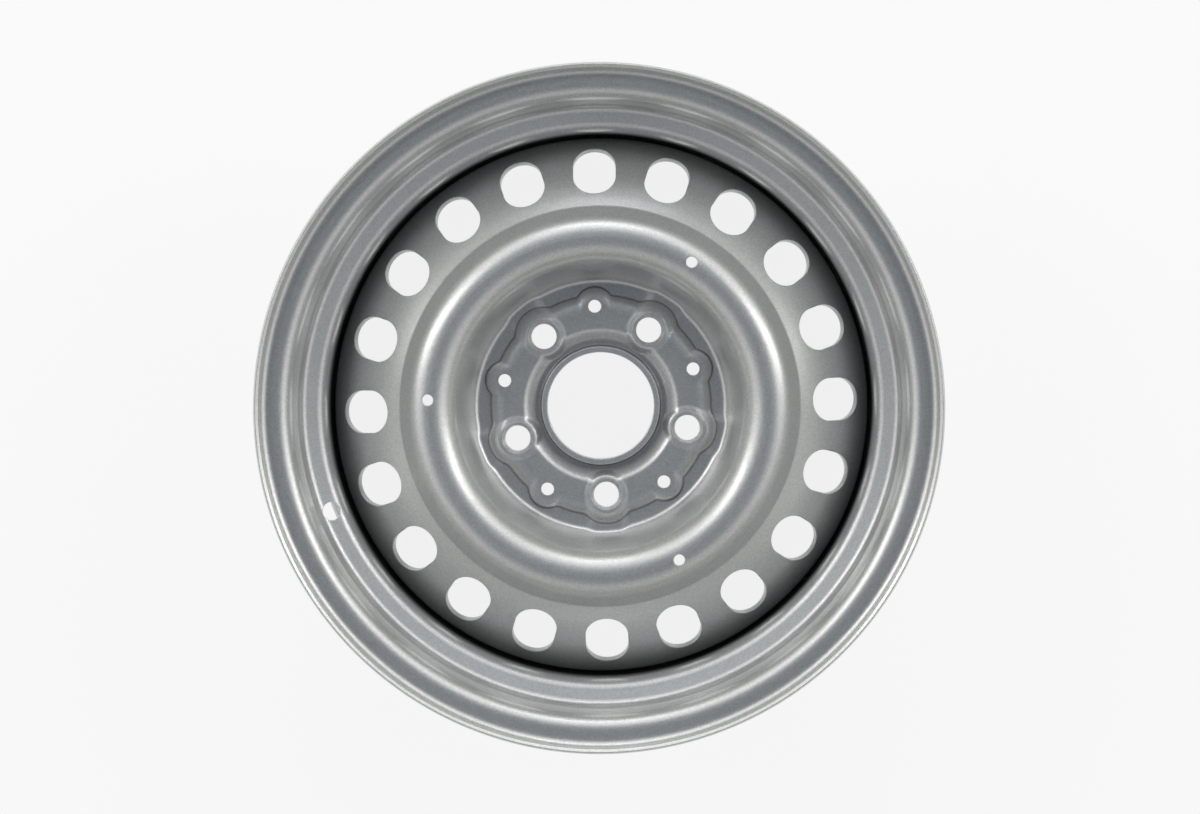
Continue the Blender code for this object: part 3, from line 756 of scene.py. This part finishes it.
bolt_angles = [FIRST_BOLT + math.tau * i / BOLT_COUNT for i in range(BOLT_COUNT)]
bpy.ops.object.mode_set(mode="EDIT")
bpy.context.tool_settings.mesh_select_mode = (False, False, True)
bpy.ops.mesh.select_all(action="DESELECT")
bpy.ops.object.mode_set(mode="OBJECT")
for facet in pressed_disc.data.polygons:
    facet.select = facet.normal.z > 0.9 and abs(facet.center.z - hub_line - DISC_HALF) < 1e-5
bpy.ops.object.mode_set(mode="EDIT")
bpy.ops.mesh.subdivide(number_cuts=1)
bpy.ops.object.mode_set(mode="OBJECT")

for point in pressed_disc.data.vertices:
    radius, height = point.co.xy.length, point.co.z
    if groove_start < radius < hat_inner and height < HUB_FACE + BULGE_HEIGHT:
        angle = math.atan2(point.co.y, point.co.x)
        pushed = min(max((radius - BOLT_CIRCLE) / (channel_end - BOLT_CIRCLE), 0.0), 1.0)
        bulge = FOOT_BULGE * bridge(from_bolt(angle)) * pushed * (1 - ease((height - hub_line) / BULGE_HEIGHT))
        radius = spread(radius, angle)
        lift = hub_relief(radius, angle)
        radius += bulge
        point.co = (radius * math.cos(angle), radius * math.sin(angle), height + lift)


# Bolt holes, small holes and cap holes
# Pierced and coined by the press: ball seats for the wheel bolts in the bosses, plain holes between them, and
# three holes on the hat ring's crest for a cap's clips. Every edge is drawn in a little on its way through.
BOLT_HOLE_RADIUS = 0.00785
SMALL_HOLE_RADIUS = 0.0040
SEAT_BALL = 0.0122
SEAT_MOUTH_BEND = 0.0004
SEAT_FACETS = 5
SEAT_OVER_TOP = 0.00002
BOLT_HOLE_FACETS = 72
SMALL_HOLE_FACETS = 40
HOLE_LIP = 0.0003
OVER = 0.002
CAP_HOLE_COUNT = 3
CAP_HOLE_RADIUS = 0.0034
CAP_HOLE_ANGLE = math.radians(57.6)
CAP_HOLE_OUTSET = 0.0010


def bolt_punch_profile():
    """A plain hole with a ball seat over it, whose mouth rolls out on to the boss."""
    back = PLATEAU_RISE + BOSS_RISE
    top = back + DISC_SHEET
    profile = lipped_profile(BOLT_HOLE_RADIUS, back, top, HOLE_LIP, OVER)[:5]
    start = math.asin(BOLT_HOLE_RADIUS / SEAT_BALL)
    end = math.asin((SEAT_RADIUS - SEAT_MOUTH_BEND / 3) / SEAT_BALL)
    ball_end = (SEAT_BALL * math.sin(end), top - SEAT_MOUTH_BEND * (1 - math.cos(end)))
    for i in range(SEAT_FACETS + 1):
        way = start + (end - start) * i / SEAT_FACETS
        profile.append((SEAT_BALL * math.sin(way), ball_end[1] - SEAT_BALL * (math.cos(way) - math.cos(end))))
    for i in range(1, SEAT_FACETS + 1):
        way = end * (1 - i / SEAT_FACETS)
        profile.append((ball_end[0] + SEAT_MOUTH_BEND * (math.sin(end) - math.sin(way)),
                        top - SEAT_MOUTH_BEND * (1 - math.cos(way))))
    profile[-1] = (profile[-1][0], top + SEAT_OVER_TOP)
    profile.append((profile[-1][0], top + OVER))
    return profile


punches = []
for i, angle in enumerate(bolt_angles):
    place = Matrix.Rotation(angle, 4, "Z") @ Matrix.Translation((BOLT_CIRCLE, 0, HUB_FACE))
    punches.append(turned_punch(f"bolt_punch_{i}", bolt_punch_profile(), BOLT_HOLE_FACETS, place))
    place = (Matrix.Rotation(angle + math.pi / BOLT_COUNT, 4, "Z")
             @ Matrix.Translation((SMALL_CIRCLE, 0, HUB_FACE + PLATEAU_RISE)))
    small_profile = lipped_profile(SMALL_HOLE_RADIUS, 0, DISC_SHEET, HOLE_LIP, OVER)
    punches.append(turned_punch(f"small_punch_{i}", small_profile, SMALL_HOLE_FACETS, place))

crest_radius = hat_inner + HAT_BEND * math.tan(BOWL_WALL / 2) + HAT_FLAT / 2
cap_profile = lipped_profile(CAP_HOLE_RADIUS, -DISC_HALF, DISC_HALF, HOLE_LIP, OVER)
for i in range(CAP_HOLE_COUNT):
    punch = turned_punch(f"cap_punch_{i}", cap_profile, SMALL_HOLE_FACETS,
                         Matrix.Translation((CAP_HOLE_OUTSET, 0, 0)))
    for point in punch.data.vertices:
        point.co.z -= point.co.x ** 2 / (2 * HAT_BEND)
    punch.data.transform(Matrix.Rotation(CAP_HOLE_ANGLE + math.tau * i / CAP_HOLE_COUNT, 4, "Z")
                         @ Matrix.Translation((crest_radius, 0, crest_line)))
    punches.append(punch)


# Vents
# Twenty long round windows pierced through the cone to cool the brake. The punch leans a little towards the axle
# line, so each window's outer end shows its sheared wall from the front.
VENT_COUNT = 20
VENT_WIDTH = 0.0267
VENT_LENGTH = 0.0398
VENT_TO_SHOULDER = 0.0099
VENT_END = 0.0160
VENT_LEAN = math.radians(14)
FIRST_VENT = math.radians(1.56)
VENT_FACETS = 48
VENT_LIP = 0.0005

vent_middle = cone_run.length / 2 - VENT_TO_SHOULDER - VENT_LENGTH / 2
vent_profile = lipped_profile(VENT_WIDTH / 2, -DISC_HALF, DISC_HALF, VENT_LIP, OVER)
for i in range(VENT_COUNT):
    punch = turned_punch(f"vent_punch_{i}", vent_profile, VENT_FACETS, Matrix.Identity(4))
    for point in punch.data.vertices:
        round_end = point.co.x * VENT_END / (VENT_WIDTH / 2)
        down = vent_middle + round_end + math.copysign(VENT_LENGTH / 2 - VENT_END, round_end)
        angle = FIRST_VENT + math.tau * i / VENT_COUNT + point.co.y / on_cone(down).x
        radius, height = on_cone(down - point.co.z * math.tan(VENT_LEAN), point.co.z)
        point.co = (radius * math.cos(angle), radius * math.sin(angle), height)
    punches.append(punch)

bpy.ops.object.select_all(action="DESELECT")
for punch in punches:
    punch.select_set(True)
bpy.context.view_layer.objects.active = punches[0]
bpy.ops.object.join()
cut(pressed_disc, punches[0])


# Edges, paint and painted shade of the disc
# The tumbled disc has its collar's and flange's ends rounded. Painted shade darkens the paint in the crevice
# beside the rim, along the plateau's sharp foot and on its flank, and in the groove round the collar.
OUTWARD_FACING = 0.2
BACK_FACING = -0.1
# Painted shade beside the rim: how far below the shoulder it reaches, and how it fades in outwards.
RIM_SIDE_SHADE_REACH = 0.012
RIM_SIDE_SHADE_WIDTH = 0.0020
RIM_SIDE_SHADE_RUN = 0.0012
# Painted shade along the plateau's foot and on its flank.
FOOT_LINE_SHADE = 0.80
FOOT_LINE_HALF = 0.0009
FOOT_LINE_HEIGHT = 0.0016
FLANK_SHADE = 0.30
FLANK_RUN = 0.0055
# Painted shade at the collar's foot and in the groove round it.
COLLAR_FOOT_WIDTH = 0.0010
COLLAR_FOOT_SHADE = 0.90
COLLAR_FOOT_HALF = 0.0013
COLLAR_FOOT_HEIGHT = 0.004
GROOVE_SHADE = 0.30
GROOVE_RUN = 0.0075

rim_side_shade_start = flange_radius + DISC_HALF - RIM_SIDE_SHADE_WIDTH
collar_foot = BORE_RADIUS + DISC_SHEET + COLLAR_FOOT_WIDTH


def at_disc_end(place):
    """Whether a place is at the collar's or the flange's sheared end."""
    at_collar_end = place.xy.length < groove_start and place.z > HUB_FACE + COLLAR_HEIGHT - HOLDING / 2
    return at_collar_end or place.z < flange_end + HOLDING / 2


def disc_painted_shade(place, outward, upward):
    """Painted shade on the disc: beside the rim, along the plateau's foot and flank, and in the collar's groove.
    """
    radius, above_hub = place.xy.length, place.z - HUB_FACE - DISC_SHEET
    if outward > OUTWARD_FACING and radius > rim_side_shade_start and place.z > shoulder - RIM_SIDE_SHADE_REACH:
        return ease((radius - rim_side_shade_start) / RIM_SIDE_SHADE_RUN)
    if upward < BACK_FACING or above_hub < -FOOT_LINE_HEIGHT or radius > channel_end:
        return 0.0
    if radius > BOLT_CIRCLE:
        from_foot = plateau_outline(math.atan2(place.y, place.x)) - radius
        flank = FLANK_SHADE * ease(1 - from_foot / FLANK_RUN) if from_foot > 0 else 0.0
        return max(FOOT_LINE_SHADE * (1 - abs(from_foot) / FOOT_LINE_HALF), flank, 0.0)
    groove = GROOVE_SHADE * ease(1 - (radius - collar_foot) / GROOVE_RUN) if radius > collar_foot else 0.0
    if above_hub < COLLAR_FOOT_HEIGHT:
        return max(COLLAR_FOOT_SHADE * (1 - abs(radius - collar_foot) / COLLAR_FOOT_HALF), groove, 0.0)
    return groove


break_sharp_edges(pressed_disc, EDGE_BREAK, at_disc_end)
settle_normals(pressed_disc)
# Paints shade into the disc's crevice, the plateau's foot and flank, and the collar's groove.
mark_painted_shade(pressed_disc, disc_painted_shade)
pressed_disc.data.materials.append(silver_paint("silver_paint_disc"))
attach(pressed_disc, "root")
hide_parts("wheel_disc")


# Weld beads
# Ten short fillet welds on the back, where the flange's end meets the rim's well: each is a bead of stacked
# ripples with a round start and end, laid before painting.
WELD_COUNT = 10
WELD_LEG = 0.0040
WELD_HOLLOW = 0.12
WELD_ARC = math.radians(24)
WELD_FACETS = 16
WELD_FACE_SHARE = 0.75
WELD_RINGS = 150
WELD_ROUND_END = 0.0030
WELD_END_THICKNESS = 0.35
WELD_SMOOTH_UP_TO = math.radians(60)
RIPPLE_PITCH = 0.0018
RIPPLE_HEIGHT = 0.00022
RIPPLE_BOW = 0.0011

weld_wall = WELL_LINE - RIM_SHEET / 2 - FIT_GAP
weld_top = flange_end - FIT_GAP
weld_length = WELD_ARC * weld_wall


def bead_point(turn, along):
    """A point (inward, down) of the bead's skin, by the turn round its section and the metres from its start."""
    from_end = min(along, weld_length - along)
    rounded = math.sqrt(max(1 - max(1 - from_end / WELD_ROUND_END, 0.0) ** 2, 0.0))
    leg = WELD_LEG * (WELD_END_THICKNESS + (1 - WELD_END_THICKNESS) * rounded)
    if turn > WELD_FACE_SHARE + 0.001:
        share = (turn - WELD_FACE_SHARE) * 2 / (1 - WELD_FACE_SHARE)
        return (max(1 - share, 0.0) * leg, max(share - 1, 0.0) * leg)
    way = turn / WELD_FACE_SHARE * math.pi / 2
    across = math.sin(2 * way)
    ripple = math.sin(math.tau * (along + RIPPLE_BOW * across) / RIPPLE_PITCH)
    throat = leg * (1 - WELD_HOLLOW * across) + RIPPLE_HEIGHT * across * (abs(ripple) - 1)
    return (throat * math.sin(way), throat * math.cos(way))


weld_profile = [(1.0, weld_length * ring / WELD_RINGS) for ring in range(WELD_RINGS + 1)]
for i in range(WELD_COUNT):
    bead = turned_punch(f"weld_{i + 1:02d}", weld_profile, WELD_FACETS, Matrix.Identity(4))
    for point in bead.data.vertices:
        turn = math.atan2(point.co.y, point.co.x) / math.tau % 1.0
        inward, down = bead_point(turn, point.co.z)
        radius = weld_wall - inward
        angle = math.tau * i / WELD_COUNT + point.co.z / weld_wall
        point.co = (radius * math.cos(angle), radius * math.sin(angle), weld_top - down)
    bpy.ops.object.mode_set(mode="EDIT")
    bpy.ops.mesh.select_all(action="SELECT")
    bpy.ops.mesh.normals_make_consistent(inside=False)
    bpy.ops.object.mode_set(mode="OBJECT")
    bpy.ops.object.shade_smooth_by_angle(angle=WELD_SMOOTH_UP_TO)
    bead.data.materials.append(silver_paint(f"silver_paint_weld_{i + 1:02d}"))
    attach(bead, "root")
    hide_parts(f"weld_bead_{i + 1:02d}")
